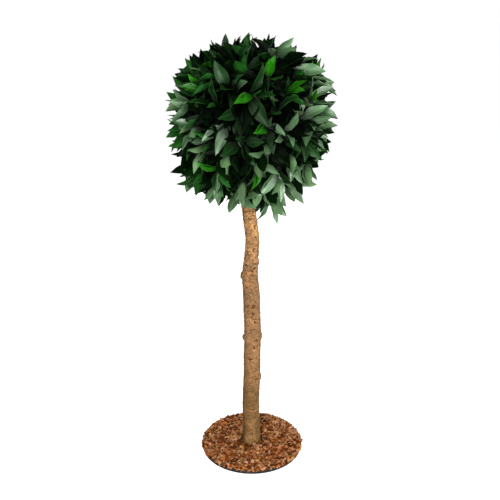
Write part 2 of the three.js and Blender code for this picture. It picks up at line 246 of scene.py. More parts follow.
def named(name):
    """Give the new active object its name."""
    piece = bpy.context.active_object
    piece.name = name
    piece.data.name = name
    return piece


def add_mesh(add, name, **values):
    """Add one of Blender's own meshes, and give it its name."""
    bpy.ops.object.select_all(action="DESELECT")
    add(**values)
    return named(name)


def linked(name, data):
    """A new object in the scene that holds some data."""
    piece = bpy.data.objects.new(name, data)
    bpy.context.scene.collection.objects.link(piece)
    return piece


def corners_of(mesh):
    """A mesh's corners, as rows of x, y and z."""
    points = np.empty(len(mesh.vertices) * 3)
    mesh.vertices.foreach_get("co", points)
    return points.reshape(-1, 3)


def columns(records):
    """One array for each key that the records share."""
    return {key: np.array([record[key] for record in records]) for key in records[0]}


def select_in_edit(piece, kind, test):
    """Select in edit mode the faces, edges or vertices that pass a test, and return their number."""
    mesh = bmesh.from_edit_mesh(piece.data)
    for element in (*mesh.verts, *mesh.edges, *mesh.faces):
        element.select_set(False)
    chosen = [element for element in getattr(mesh, kind) if test(element)]
    for element in chosen:
        element.select_set(True)
    bmesh.update_edit_mesh(piece.data)
    return len(chosen)


def settle(piece, nodes, materials, angle):
    """Put a finished piece in the frame: place in its mesh, materials, body and the nodes it replaces."""
    only(piece)
    bpy.ops.object.transform_apply(location=True, rotation=True, scale=True)
    bpy.ops.object.shade_smooth_by_angle(angle=math.radians(angle))
    piece.data.materials.clear()
    for material in materials:
        piece.data.materials.append(material)
    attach(piece, "root")
    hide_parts(*nodes)


def template_arrays(piece):
    """A template's corners, four-sided faces, material numbers and UV places, and the template gone."""
    mesh = piece.data
    points = corners_of(mesh)
    quads = np.array([list(face.vertices) for face in mesh.polygons])
    kinds = np.array([face.material_index for face in mesh.polygons])
    uv = np.empty(len(mesh.loops) * 2)
    mesh.uv_layers.active.data.foreach_get("uv", uv)
    bpy.data.objects.remove(piece)
    return points, quads, kinds, uv.reshape(-1, 2)


def copies_of(name, template, places):
    """One joined object of many copies of a template, from a block of corners for each copy."""
    _, quads, _, uv = template
    count, corners, _ = places.shape
    faces = (quads[None] + (np.arange(count) * corners)[:, None, None]).reshape(-1, 4)
    mesh = bpy.data.meshes.new(name)
    mesh.vertices.add(count * corners)
    mesh.vertices.foreach_set("co", places.astype(np.float32).ravel())
    mesh.loops.add(faces.size)
    mesh.loops.foreach_set("vertex_index", faces.astype(np.int32).ravel())
    mesh.polygons.add(len(faces))
    mesh.polygons.foreach_set("loop_start", np.arange(0, faces.size, 4, dtype=np.int32))
    mesh.update(calc_edges=True)
    mesh.uv_layers.new(name="UVMap")
    mesh.uv_layers["UVMap"].data.foreach_set("uv", np.tile(uv, (count, 1)).astype(np.float32).ravel())
    return linked(name, mesh)


def set_kinds(piece, kinds):
    """Deal the piece's materials out to its faces."""
    piece.data.polygons.foreach_set("material_index", kinds.astype(np.int32).ravel())
    piece.data.update()


# Node trees


def put(tree, kind, inputs=None, **settings):
    """Add a node, with its settings, and with values or links on its inputs."""
    new = tree.nodes.new(kind)
    for key, value in settings.items():
        setattr(new, key, value)
    for key, value in (inputs or {}).items():
        if isinstance(value, bpy.types.NodeSocket):
            tree.links.new(value, new.inputs[key])
        else:
            new.inputs[key].default_value = value
    return new


def maths(tree, operation, *values, clamp=False):
    """A Math node's result."""
    inputs = dict(enumerate(values))
    return put(tree, "ShaderNodeMath", inputs, operation=operation, use_clamp=clamp).outputs[0]


def times(tree, value, factor):
    """A product of two numbers."""
    return maths(tree, "MULTIPLY", value, factor)


def blended(tree, share, low, high, mode="MIX"):
    """A colour between two others; the Mix node numbers its sockets for colours 6 and 7."""
    low, high = (end if isinstance(end, bpy.types.NodeSocket) else (*end[:3], 1) for end in (low, high))
    inputs = {0: share, 6: low, 7: high}
    return put(tree, "ShaderNodeMix", inputs, data_type="RGBA", blend_type=mode).outputs[2]


def stepped(tree, value, low, high, start=0.0, end=1.0):
    """A value brought smoothly from one range to another."""
    inputs = {"Value": value, "From Min": low, "From Max": high, "To Min": start, "To Max": end}
    new = put(tree, "ShaderNodeMapRange", inputs, interpolation_type="SMOOTHSTEP")
    return new.outputs["Result"]


def scaled(colour, factor):
    """A colour made darker or paler."""
    return tuple(min(1.0, channel * factor) for channel in colour)


def new_group(name, inputs, outputs):
    """An empty shader node group with named sockets."""
    group = bpy.data.node_groups.new(name, "ShaderNodeTree")
    for label, default in inputs.items():
        socket = group.interface.new_socket(name=label, in_out="INPUT", socket_type="NodeSocketFloat")
        socket.default_value = default
    for label in outputs:
        group.interface.new_socket(name=label, in_out="OUTPUT", socket_type="NodeSocketFloat")
    return group, group.nodes.new("NodeGroupInput"), group.nodes.new("NodeGroupOutput")


def mottle_group(name):
    """Soft patches over the object, at the size that the material asks for."""
    group, start, end = new_group(name, {"Size": 20.0, "Contrast": 1.0}, ["Patches", "Fine"])
    place = put(group, "ShaderNodeTexCoord").outputs["Object"]
    for label, finer, detail, roughness in (("Patches", 1.0, 3.0, 0.55), ("Fine", 7.0, 4.0, 0.6)):
        size = times(group, start.outputs["Size"], finer)
        inputs = {"Vector": place, "Scale": size, "Detail": detail, "Roughness": roughness}
        offset = maths(group, "SUBTRACT", put(group, "ShaderNodeTexNoise", inputs).outputs["Fac"], 0.5)
        spread = times(group, offset, times(group, start.outputs["Contrast"], 2.2))
        group.links.new(maths(group, "ADD", spread, 0.5, clamp=True), end.inputs[label])
    return group


def veins_group(name):
    """A leaf's midrib, side veins, margin and the painted shadow towards its stalk, from how far along and
    across the blade a place is.
    """
    masks = ["Midrib", "Veins", "Margin", "Base", "Height"]
    group, start, end = new_group(name, {"Side Veins": 11.0}, masks)
    uv = put(group, "ShaderNodeUVMap", uv_map="UVMap").outputs["UV"]
    along, across, _ = put(group, "ShaderNodeSeparateXYZ", {"Vector": uv}).outputs
    off_rib = maths(group, "ABSOLUTE", times(group, maths(group, "SUBTRACT", across, 0.5), 2.0))
    midrib = maths(group, "SUBTRACT", 1.0, stepped(group, off_rib, 0.02, 0.13))
    slant = maths(group, "SUBTRACT", along, times(group, off_rib, 0.16))
    turns = maths(group, "FRACT", times(group, slant, start.outputs["Side Veins"]))
    from_vein = maths(group, "ABSOLUTE", maths(group, "SUBTRACT", turns, 0.5))
    veins = maths(group, "SUBTRACT", 1.0, stepped(group, from_vein, 0.02, 0.13))
    veins = times(group, veins, stepped(group, off_rib, 1.0, 0.75))
    margin = stepped(group, off_rib, 0.84, 0.96)
    # Mask of the painted shadow: 1 at the stalk end, 0 from halfway along the blade
    base_shadow = stepped(group, along, 0.5, 0.08)
    height = maths(group, "ADD", times(group, midrib, -1.0), times(group, veins, -0.35))
    for label, value in zip(masks, (midrib, veins, margin, base_shadow, height)):
        group.links.new(value, end.inputs[label])
    return group


def depth_group(name):
    """How far out in the head a place is: 0 in the shade among the twigs, 1 at the clipped outline; it masks
    the painted shade of the leaves deep in the head.
    """
    group, start, end = new_group(name, {"Shade From": 0.71, "Light From": 1.0}, ["Out"])
    place = put(group, "ShaderNodeTexCoord").outputs["Object"]
    scale = (1 / HEAD_RADIUS, 1 / HEAD_RADIUS, 1 / HEAD_HALF_HEIGHT)
    inputs = {0: place, 1: scale, 2: (0, 0, -HEAD_MIDDLE / HEAD_HALF_HEIGHT)}
    ball = put(group, "ShaderNodeVectorMath", inputs, operation="MULTIPLY_ADD").outputs["Vector"]
    away = put(group, "ShaderNodeVectorMath", {0: ball}, operation="LENGTH").outputs["Value"]
    out = stepped(group, away, start.outputs["Shade From"], start.outputs["Light From"])
    group.links.new(out, end.inputs["Out"])
    return group


def shared(tree, name, build, **inputs):
    """A node with a group in it that is built once and used by several materials."""
    group = bpy.data.node_groups.get(name) or build(name)
    return put(tree, "ShaderNodeGroup", inputs, node_tree=group)


def mottle(tree, size, contrast):
    """The broad and the fine pattern of the shared mottle at one size."""
    return shared(tree, "Mottle", mottle_group, Size=size, Contrast=contrast).outputs


def new_material(name, roughness, specular):
    """A material with its tree, its shader and the values that are the same all over."""
    material = bpy.data.materials.new(name)
    material.use_nodes = True
    shader = material.node_tree.nodes["Principled BSDF"]
    shader.inputs["Roughness"].default_value = roughness
    shader.inputs["Specular IOR Level"].default_value = specular
    return material, material.node_tree, shader


def surface(material, colour, height, strength, distance):
    """Give a material its colour and its small relief."""
    tree = material.node_tree
    shader = tree.nodes["Principled BSDF"]
    inputs = {"Height": height, "Strength": strength, "Distance": distance}
    tree.links.new(colour, shader.inputs["Base Color"])
    tree.links.new(put(tree, "ShaderNodeBump", inputs).outputs["Normal"], shader.inputs["Normal"])
    return material


def leaf_material(name, blade, rib, roughness, gloss):
    """Satin leaf with a paler midrib, veins and margin, with painted shadow towards its stalk and painted
    shade deep in the head.
    """
    material, tree, shader = new_material(name, roughness, gloss)
    shader.inputs["Specular Tint"].default_value = (0.92, 1.0, 0.90, 1)
    veins = shared(tree, "Leaf Veins", veins_group)
    patches, fine = mottle(tree, 14.0, 1.3)
    colour = blended(tree, patches, scaled(blade, 0.55), scaled(blade, 1.5))
    for mask, share in (("Veins", 0.10), ("Midrib", 0.4), ("Margin", 0.3)):
        colour = blended(tree, times(tree, veins.outputs[mask], share), colour, rib)
    # Painted shadow: the blade darkens towards its stalk, where the twigs and other leaves shade it
    colour = blended(tree, times(tree, veins.outputs["Base"], 0.75), colour, scaled(blade, 0.15))
    # Painted shade: deep in the head the leaf's colour is taken most of the way to black
    out = shared(tree, "Head Depth", depth_group).outputs["Out"]
    shaded = blended(tree, 0.85, colour, (0, 0, 0))
    rough = maths(tree, "ADD", times(tree, fine, 0.16), roughness - 0.08)
    rough = maths(tree, "ADD", rough, stepped(tree, out, 1.0, 0.0, 0.0, 0.3))
    tree.links.new(rough, shader.inputs["Roughness"])
    return surface(material, blended(tree, out, shaded, colour), veins.outputs["Height"], 0.5, 0.0006)


def bark_material(settings):
    """Matt tan bark: pale pebbles over darker cracks, weathered patches, scars and a duller foot; the cracks
    and the scars are darker partly in their own colour and partly as painted shade in the hollows.
    """
    material, tree, _ = new_material("Stem Bark", 0.8, 0.12)
    relief, scar = (
        put(tree, "ShaderNodeAttribute", attribute_name=name).outputs["Fac"] for name in ("relief", "scar")
    )
    patches, fine = mottle(tree, 28.0, 1.2)
    place = put(tree, "ShaderNodeTexCoord").outputs["Object"]
    height = put(tree, "ShaderNodeSeparateXYZ", {"Vector": place}).outputs["Z"]
    fresh = stepped(tree, height, 0.60, 0.80, 0.0, 0.9)
    plain = blended(tree, fresh, settings.bark_colour, settings.fresh_colour)
    # Partly painted shade: the low places of the relief, in the cracks and the dents, take the dark crack
    # colour
    colour = blended(tree, stepped(tree, relief, 0.08, 0.5), settings.crack_and_shade_colour, plain)
    colour = blended(tree, stepped(tree, relief, 0.6, 0.95, 0.0, 0.8), colour, settings.pebble_colour)
    weathered = times(tree, stepped(tree, patches, 0.25, 0.8), 0.75)
    colour = blended(tree, weathered, colour, settings.patch_colour)
    low = stepped(tree, height, 0.45, 0.02, 0.0, 0.80)
    foot = times(tree, low, stepped(tree, patches, 0.2, 0.8, 0.55, 1.25))
    colour = blended(tree, foot, colour, settings.foot_colour)
    shade = maths(tree, "ADD", times(tree, fine, 1.1), 0.45)
    grey = put(tree, "ShaderNodeCombineColor", {0: shade, 1: shade, 2: shade}).outputs[0]
    colour = blended(tree, 1.0, colour, grey, "MULTIPLY")
    # The scars' own dark colour, deeper as painted shade where they are deeper, and the knots' own darker
    # colour
    colour = blended(tree, times(tree, scar, 0.8), colour, settings.scar_and_shade_colour)
    return surface(material, colour, fine, 0.6, 0.0012)


def twig_material():
    """Brown-green twig bark."""
    material, tree, _ = new_material("Twig Bark", 0.8, 0.15)
    patches, fine = mottle(tree, 60.0, 1.4)
    colour = blended(tree, patches, (0.010, 0.010, 0.005), (0.035, 0.028, 0.012))
    return surface(material, colour, fine, 0.4, 0.0006)


def chip_material(name, colour):
    """Rough bark chip with grain along its length and dark patches."""
    material, tree, _ = new_material(name, 0.85, 0.05)
    uv = put(tree, "ShaderNodeUVMap", uv_map="UVMap").outputs["UV"]
    stretch = put(tree, "ShaderNodeMapping", {"Vector": uv, "Scale": (2.0, 14.0, 1.0)}).outputs["Vector"]
    grain = put(tree, "ShaderNodeTexNoise", {"Vector": stretch, "Scale": 1.0, "Detail": 3.0}).outputs["Fac"]
    patches, fine = mottle(tree, 90.0, 1.6)
    deep = scaled(colour, 0.42)
    mixed = blended(tree, patches, deep, scaled(colour, 1.15))
    mixed = blended(tree, stepped(tree, grain, 0.62, 0.42, 0.0, 0.5), mixed, deep)
    return surface(material, mixed, maths(tree, "ADD", grain, fine), 0.6, 0.0008)


def fines_and_shade_material():
    """The dark fine bark that shows between the chips, dark partly as painted shade in the gaps between
    them.
    """
    material, tree, _ = new_material("Bark Fines", 0.95, 0.05)
    patches, fine = mottle(tree, 70.0, 1.6)
    colour = blended(tree, fine, (0.020, 0.007, 0.002), (0.085, 0.030, 0.008))
    return surface(material, colour, patches, 0.8, 0.002)


def dish_material(settings):
    """Satin black paint with a little dust and fine pitting."""
    material, tree, shader = new_material("Black Dish", 0.6, 0.2)
    patches, fine = mottle(tree, 30.0, 1.2)
    dust = tuple(channel * 2.2 + 0.003 for channel in settings.colour)
    colour = blended(tree, times(tree, patches, 0.6), settings.colour, dust)
    rough = maths(tree, "ADD", times(tree, fine, 0.25), 0.48)
    tree.links.new(rough, shader.inputs["Roughness"])
    return surface(material, colour, fine, 0.15, 0.0004)


# The stem


def stem_at(heights):
    """The stem's middle and radius at some heights, all in millimetres, smooth through its stations."""
    z = STEM_STATIONS[:, 0]
    values = STEM_STATIONS[:, 1:]
    slopes = np.gradient(values, z, axis=0)
    index = np.clip(np.searchsorted(z, heights, side="right") - 1, 0, len(z) - 2)
    step = (z[index + 1] - z[index])[:, None]
    share = ((heights - z[index]) / (z[index + 1] - z[index]))[:, None]
    low, high = values[index], values[index + 1]
    pull, push = slopes[index] * step, slopes[index + 1] * step
    square, cube = share**2, share**3
    start = (2 * cube - 3 * square + 1) * low + (cube - 2 * square + share) * pull
    return start + (3 * square - 2 * cube) * high + (cube - square) * push


def stem_beside(height):
    """The stem's middle and radius in metres, at one height in millimetres."""
    return stem_at(np.array([height]))[0] * MM


def knot_swell(heights, bearings):
    """How far the knots swell the stem, in millimetres."""
    total = np.zeros_like(heights)
    for z, bearing, out, spread in KNOTS:
        across = np.maximum(0, 1 - np.cos(bearings - math.radians(bearing))) * 7
        total += out * np.exp(-(np.abs((heights - z) / spread) ** 5) - across)
    return total


def scar_dents(heights, bearings, radii):
    """How far the scars dent the stem, in millimetres, and how dark the scars and the knots are; the scars
    are darker the deeper they are, partly their own colour and partly painted shade, the knots in their own
    colour.
    """
    total, dark = np.zeros_like(heights), np.zeros_like(heights)
    for z, bearing, tall, wide, depth in SCARS:
        off = bearings - math.radians(bearing)
        up, aside = (heights - z) / tall, np.arctan2(np.sin(off), np.cos(off)) * radii / wide
        around = np.arctan2(up, aside)
        uneven = 1 + 0.2 * np.sin(3 * around + z) + 0.14 * np.sin(5 * around + 2 * z)
        away = np.hypot(up, aside) * uneven
        total += depth * np.exp(-(away**2) * 1.6) - 0.45 * depth * np.exp(-(((away - 1.5) / 0.45) ** 2))
        dark = np.maximum(dark, min(1, depth / 1.8) * np.exp(-(away**2.6)))
    return total, np.maximum(dark, np.clip(knot_swell(heights, bearings) / 14, 0, 0.4))


def bark_relief(heights, bearings, radii):
    """The bark's pebbles, wrinkles and cracks, from about -1 to 1."""
    relief = np.empty(len(heights))
    for index, (z, turn, radius) in enumerate(zip(heights, bearings, radii)):
        place = Vector((radius * math.cos(turn), radius * math.sin(turn), z))
        pebbles = noise.voronoi(place / 8.0)[0][0]
        broad = noise.noise(place / 17.0)
        ring = noise.noise(Vector((place.x / 22, place.y / 22, z / 4.5)))
        pebbled = min(1, max(0.35, (z - 100) / 500))
        relief[index] = pebbled * (1.0 - 2.1 * pebbles) + 0.6 * broad + (0.95 - 0.5 * pebbled) * ring
    return np.clip(relief, -1, 1)


# The head


def heading_at(bearing, elevation):
    """The direction at a bearing and an elevation in degrees."""
    flat = math.cos(math.radians(elevation))
    turn = math.radians(bearing)
    return Vector((flat * math.cos(turn), flat * math.sin(turn), math.sin(math.radians(elevation))))


def outline_reach(direction):
    """The distance from the head's middle to its clipped outline in one direction."""
    flat = math.hypot(direction.x, direction.y) / HEAD_RADIUS
    up = abs(direction.z) / (HEAD_HALF_HEIGHT if direction.z > 0 else HEAD_HEM)
    return (flat**HEAD_SQUARENESS + up**HEAD_SQUARENESS) ** (-1 / HEAD_SQUARENESS)


def trimmed_reach(direction):
    """The distance from the head's middle to the tips of its leaves in one direction."""
    swell = 1.0
    for bearing, elevation, spread, share in SWELLS:
        apart = math.degrees(direction.angle(heading_at(bearing, elevation)))
        swell += share * math.exp(-((apart / spread) ** 2))
    return outline_reach(direction) * swell


def outline_share(place):
    """How far out a place is, as a share of the way to the outline."""
    return place.length / trimmed_reach(place.normalized())


def head_masses():
    """The masses of the head: name, heading, how far the bough rises, hub, and no twigs as yet."""
    masses = []
    for name, count, elevation, turn, rise in RINGS:
        for index in range(count):
            heading = heading_at(turn + 360 * index / count, elevation)
            label = f"{name}_{index + 1}" if count > 1 else name
            mass = {"name": label, "heading": heading, "rise": rise, "twigs": [], "knees": []}
            mass["hub"] = heading * outline_reach(heading) * HUB
            masses.append(mass)
    return masses


def even_headings(count, seed):
    """Directions spread evenly over a ball, each with a little seeded wander, as the solids have."""
    random = seeded(seed)
    headings = []
    for index in range(count):
        z = 1 - 2 * (index + 0.5) / count
        flat = math.sqrt(1 - z * z)
        bearing = index * GOLDEN_ANGLE
        x = flat * math.cos(bearing) + (random() - 0.5) / math.sqrt(count)
        y = flat * math.sin(bearing) + (random() - 0.5) / math.sqrt(count)
        z += (random() - 0.5) / math.sqrt(count)
        headings.append(Vector((x, y, z)).normalized())
    return headings


def off_stem(place, margin):
    """True if a place in the head's frame is clear of the stem."""
    height = (HEAD_MIDDLE + place.z) / MM
    if height > STEM_STATIONS[-1, 0] + margin / MM:
        return True
    x, y, radius = stem_beside(height)
    return math.hypot(place.x - x, place.y - y) > radius + margin


def spoke_at(axis, bearing):
    """The direction square to an axis at a bearing round it."""
    side = axis.cross(Vector((0.3, 0.2, 1))).normalized()
    return side * math.cos(bearing) + axis.cross(side) * math.sin(bearing)


def curve_points(start, bend, end, count):
    """Places along a smooth curve from start to end, pulled towards a bend."""
    shares = [index / (count - 1) for index in range(count)]
    return [start * (1 - s) ** 2 + bend * 2 * s * (1 - s) + end * s * s for s in shares]


def bough_path(mass):
    """A bough's places from the stem to its mass's hub, rising outwards as the solid's does."""
    heading, rise = mass["heading"], mass["rise"]
    end = heading * outline_reach(heading) * BOUGH_END
    if heading.z > 0.99:
        top = STEM_STATIONS[-1, 0]
        x, y, _ = stem_beside(top)
        start = Vector((x, y, top * MM - 0.02 - HEAD_MIDDLE))
        bend = Vector((x, y, 0))
    else:
        height = end.z - rise
        x, y, radius = stem_beside((HEAD_MIDDLE + height) / MM)
        outward = Vector((end.x - x, end.y - y, 0)).normalized()
        start = Vector((x, y, height)) + outward * radius * 0.5
        bend = start.lerp(end, 0.5) - Vector((0, 0, rise / 4))
    return curve_points(start, bend, end, 7) + [mass["hub"]]


def limbs(name, paths, sides):
    """One mesh of round tapering limbs, each a list of (place, radius) in the head's frame."""
    curve = bpy.data.curves.new(name, "CURVE")
    curve.dimensions = "3D"
    curve.bevel_depth = 1.0
    curve.bevel_resolution = sides
    curve.use_fill_caps = True
    for path in paths:
        spline = curve.splines.new("POLY")
        spline.points.add(len(path) - 1)
        for point, (place, radius) in zip(spline.points, path):
            point.co = (place.x, place.y, place.z + HEAD_MIDDLE, 1)
            point.radius = radius
    only(linked(name, curve))
    bpy.ops.object.convert(target="MESH")
    return named(name)


def grow_twigs(settings):
    """Main twigs as the solids have them, each forked into finer ones that end in a spray."""
    random = seeded(SPRAY_SEED)
    masses = head_masses()
    branches = []
    for heading in even_headings(MAIN_TWIGS, MAIN_TWIG_SEED):
        mass = max(masses, key=lambda other: heading.dot(other["heading"]))
        knee = mass["hub"].lerp(heading * outline_reach(heading) * HUB, 0.72)
        if off_stem(knee, 1.5 * STEM_GAP):
            mass["twigs"].append(list(zip([mass["hub"] * 0.96, knee], MAIN_TWIG_RADII)))
            mass["knees"].append((mass["hub"], knee))
            branches.append((heading, knee, mass))
    sprays = []
    for heading in even_headings(settings.sprays, FINE_TWIG_SEED):
        _, knee, mass = max(branches, key=lambda branch: heading.dot(branch[0]))
        end = heading * trimmed_reach(heading) * between(random, 0.70, 0.82)
        bend = knee.lerp(end, 0.5) + Vector((0, 0, -0.006))
        path = curve_points(knee, bend, end, 4)
        if not all(off_stem(place, STEM_GAP) for place in path):
            continue
        mass["twigs"].append(list(zip(path, FINE_TWIG_RADII)))
        bearing, lean = between(random, 0, math.tau), between(random, 0.3, 1.0)
        if heading.z > 0.6:
            lean += 0.5
        axis = heading + spoke_at(heading, bearing) * lean
        axis.z -= between(random, 0, 0.25) + (0.6 if heading.z < -0.35 else 0)
        sprays.append({"mass": mass, "path": path, "axis": axis.normalized(), "fresh": []})
    for bearing, elevation in FRESH_SHOOTS:
        place = heading_at(bearing, elevation)
        max(sprays, key=lambda spray: place.dot(spray["path"][-1].normalized()))["fresh"].append(place)
    return masses, sprays


# The leaves


def half_width(along):
    """A bay leaf's half width along its length, as a share of its greatest: stalk, belly and point."""
    stalk = 0.08
    share = np.clip((along - stalk) / (1 - stalk), 0, 1) ** 0.95
    blade = np.sin(math.pi * share) ** np.where(share < 0.5, 0.72, 0.92)
    return np.maximum(blade, np.where(along < stalk + 0.05, 0.09, 0.012))


def bent_leaves(points, leaves):
    """Every leaf's corners: the flat blade given its outline, fold, bend, twist and wave."""
    along, across = (points[:, 0] + 1) / 2, points[:, 1]
    edge = np.abs(across)[None]
    value = columns(leaves)
    ahead, face = value["ahead"], value["face"]
    length, width, bend, fold, twist, wave = (
        value[key][:, None] for key in ("length", "width", "bend", "fold", "twist", "wave")
    )
    outline = half_width(along)[None] * width / 2
    sway = bend * along
    forward = length * along * (1 - sway**2 / 6)
    ripple = np.sin(2 * math.pi * 2.3 * along + wave + (across > 0) * 1.3)
    lift = -length * sway * along / 2 + fold * outline * edge**1.4
    lift = lift + 0.16 * outline * edge**2 * ripple
    lift = lift + np.sign(points[:, 2]) * (0.0005 * (1.15 - 0.55 * edge))
    turn, offset = twist * along, outline * across
    aside, rise = offset * np.cos(turn), lift + offset * np.sin(turn)
    corners = value["root"][:, None, :]
    for distance, direction in ((forward, ahead), (aside, np.cross(face, ahead)), (rise, face)):
        corners = corners + distance[:, :, None] * direction[:, None, :]
    corners[:, :, 2] += HEAD_MIDDLE
    return corners


class Crown:
    """The leaves grown so far, so that a new one can be turned until it runs through few of them."""

    def __init__(self, settings):
        """Start with no leaves, and with the coarse blade that stands for each of them."""
        self.settings = settings
        self.random = seeded(LEAF_SEED)
        along, across = np.meshgrid(np.linspace(-0.7, 1, BLADE_ROWS), [-1, 0, 1], indexing="ij")
        self.grid = np.stack([along.ravel(), across.ravel(), np.zeros(along.size)], axis=1)
        starts = [3 * row + side for row in range(BLADE_ROWS - 1) for side in range(2)]
        self.faces = [(start, start + 1, start + 4, start + 3) for start in starts]
        self.middles = np.empty((0, 3))
        self.blades = []

    def leaf(self, root, ahead, axis, length, kind):
        """One leaf that grows ahead and faces an axis, or None where it has no room."""
        settings, random = self.settings, self.random
        over = outline_share(root + ahead * length) - settings.most_reach
        if over > 0:
            root = root - axis * over * HEAD_RADIUS
        tip, middle = root + ahead * length, root + ahead * length * 0.5
        clear = off_stem(tip, STEM_GAP) and off_stem(middle, 2 * STEM_GAP) and off_stem(root, STEM_GAP)
        face = (axis - ahead * axis.dot(ahead)).normalized()
        roll = between(random, -0.85, 0.85)
        shape = {
            "root": root,
            "ahead": ahead,
            "face": face * math.cos(roll) + face.cross(ahead) * math.sin(roll),
            "length": length,
            "width": length * settings.width * between(random, 0.88, 1.14),
            "bend": between(random, -0.2, 0.6),
            "fold": between(random, 0.25, 0.8),
            "twist": between(random, -0.5, 0.5),
            "wave": between(random, 0, math.tau),
            "kind": kind,
        }
        return shape if clear and outline_share(tip) < settings.most_reach + 0.01 else None

    def side_leaf(self, root, axis, bearing, opening, length, kind):
        """One leaf that opens from its twig's axis at a bearing round it, or None where it has no room."""
        spoke = spoke_at(axis, bearing)
        ahead = axis * math.cos(opening) + spoke * math.sin(opening)
        ahead.z -= between(self.random, 0.02, 0.22)
        return self.leaf(root + spoke * 0.0012, ahead.normalized(), axis, length, kind)

    def run_through(self, blade, middle):
        """How many leaves a blade runs through."""
        near = np.flatnonzero(np.linalg.norm(self.middles - middle, axis=1) < NEIGHBOUR)
        return sum(bool(self.blades[index].overlap(blade)) for index in near)

    def grow(self, tries, leaf_for):
        """A list of one leaf, the first clear of all others or else the clearest, or an empty list."""
        grown = []
        for attempt in range(tries):
            leaf = leaf_for(between(self.random, -1, 1) * attempt, between(self.random, -1, 1) * attempt)
            if leaf:
                corners = bent_leaves(self.grid, [leaf])[0]
                middle = corners[len(corners) // 2]
                blade = BVHTree.FromPolygons(corners.tolist(), self.faces)
                grown.append((self.run_through(blade, middle), attempt, leaf, blade, middle))
                if grown[-1][0] == 0:
                    break
        if not grown:
            return []
        _, _, leaf, blade, middle = min(grown)
        self.middles = np.vstack([self.middles, middle])
        self.blades.append(blade)
        return [leaf]

    def grow_beside(self, tries, root, axis, bearing, opening, length, kind, turn=0.5, spread=0.0):
        """Grow a leaf beside a twig, which later tries turn and spread further than the first."""

        def leaf_for(further, wider):
            turned, opened = bearing + turn * further, opening + spread * wider
            return self.side_leaf(root, axis, turned, opened, length, kind)

        return self.grow(tries, leaf_for)


def fresh_leaves(crown, spray):
    """Two fresh green leaves for each fresh shoot of a spray."""
    leaves, tip = [], spray["path"][-1]
    for place in spray["fresh"]:
        ahead = (place * trimmed_reach(place) - tip).normalized()
        length = crown.settings.length * between(crown.random, 0.75, 0.9)
        aside = place.cross(ahead)
        for lean, size in ((0, 1), (between(crown.random, 0.4, 0.7), 0.8)):

            def leaf_for(turn, _):
                heading = (ahead + aside * (lean + 0.1 * turn)).normalized()
                return crown.leaf(tip, heading, place, length * size, YOUNG)

            leaves += crown.grow(crown.settings.tries, leaf_for)
    return leaves


def outer_leaves(crown, spray):
    """The leaves around the end of a spray, most of them in the spray's own tone, the paler tone likelier
    where the head is lit more, as painted light.
    """
    settings, random = crown.settings, crown.random
    leaves, tip, axis = [], spray["path"][-1], spray["axis"]
    # Painted light: the paler tone is likelier towards the right and the bottom of the head, where it is lit
    # more, and rarer towards the top; the draw is otherwise random
    tone = MIDDLE if random() < np.clip(0.42 + 1.8 * tip.x - 2.2 * tip.z, 0.05, 0.80) else DARK
    first = between(random, 0, math.tau)
    for order in range(settings.leaves):
        bearing = first + order * GOLDEN_ANGLE + between(random, -0.25, 0.25)
        opening = between(random, 0.35, 0.65) + 0.07 * order
        length = settings.length * between(random, 0.88, 1.12)
        kind = tone if random() < 0.8 else DARK + MIDDLE - tone
        if order > 2 and random() < 0.3 * order - 0.5:
            # Painted shade: leaves further back in a spray are often made near black
            kind = DEEP_SHADE
        if order < 2:
            length *= between(random, 0.7, 0.95)
            opening -= 0.15
            kind = tone
        root = tip - axis * (0.002 + 0.008 * order)
        leaves += crown.grow_beside(
            settings.tries, root, axis, bearing, opening, length, kind, turn=0.3, spread=0.06
        )
    return leaves


def inner_leaves(crown, spray):
    """Darker leaves further down a spray: painted shade, near black."""
    settings, random = crown.settings, crown.random
    leaves, path = [], spray["path"]
    axis = (path[-1] - path[0]).normalized()
    first = between(random, 0, math.tau)
    for order in range(settings.inner_leaves):
        bearing = first + order * GOLDEN_ANGLE
        root = path[0].lerp(path[-1], between(random, 0.0, 0.6))
        length = settings.length * between(random, 0.75, 1.0)
        opening = between(random, 0.6, 1.2)
        leaves += crown.grow_beside(settings.inner_tries, root, axis, bearing, opening, length, INNER_SHADE)
    return leaves


def shade_leaves(crown, hub, knee):
    """The leaves on a main twig inside the head, near black as painted shade."""
    settings, random = crown.settings, crown.random
    leaves = []
    axis = (knee - hub).lerp(knee, 0.5).normalized()
    for order in range(settings.shade_leaves):
        root = hub.lerp(knee, between(random, 0.2, 1))
        bearing, opening = order * GOLDEN_ANGLE, between(random, 0.9, 1.5)
        length = settings.length * between(random, 0.7, 1)
        leaves += crown.grow_beside(settings.inner_tries, root, axis, bearing, opening, length, INNER_SHADE)
    return leaves


def leaf_places(masses, sprays, settings):
    """For every mass, the frame, size and shape of each leaf, the outermost leaves first."""
    crown = Crown(settings)
    leaves = {mass["name"]: [] for mass in masses}
    for grown in (fresh_leaves, outer_leaves, inner_leaves):
        for spray in sprays:
            leaves[spray["mass"]["name"]] += grown(crown, spray)
    for mass in masses:
        for hub, knee in mass["knees"]:
            leaves[mass["name"]] += shade_leaves(crown, hub, knee)
    return leaves


def leaf_template():
    """A flat blade of one unit: x runs along it, y across it and z through it."""
    blade = add_mesh(
        bpy.ops.mesh.primitive_grid_add, "leaf_template", x_subdivisions=10, y_subdivisions=4, size=2
    )
    for slot in range(2):
        blade.data.materials.append(bpy.data.materials.new(f"leaf_template_{slot}"))
    bpy.ops.object.modifier_add(type="SOLIDIFY")
    shell = blade.modifiers[-1]
    shell.thickness = 2.0
    shell.offset = 0.0
    shell.material_offset = 1
    shell.material_offset_rim = 1
    bpy.ops.object.modifier_apply(modifier=shell.name)
    return template_arrays(blade)


# The bark chips


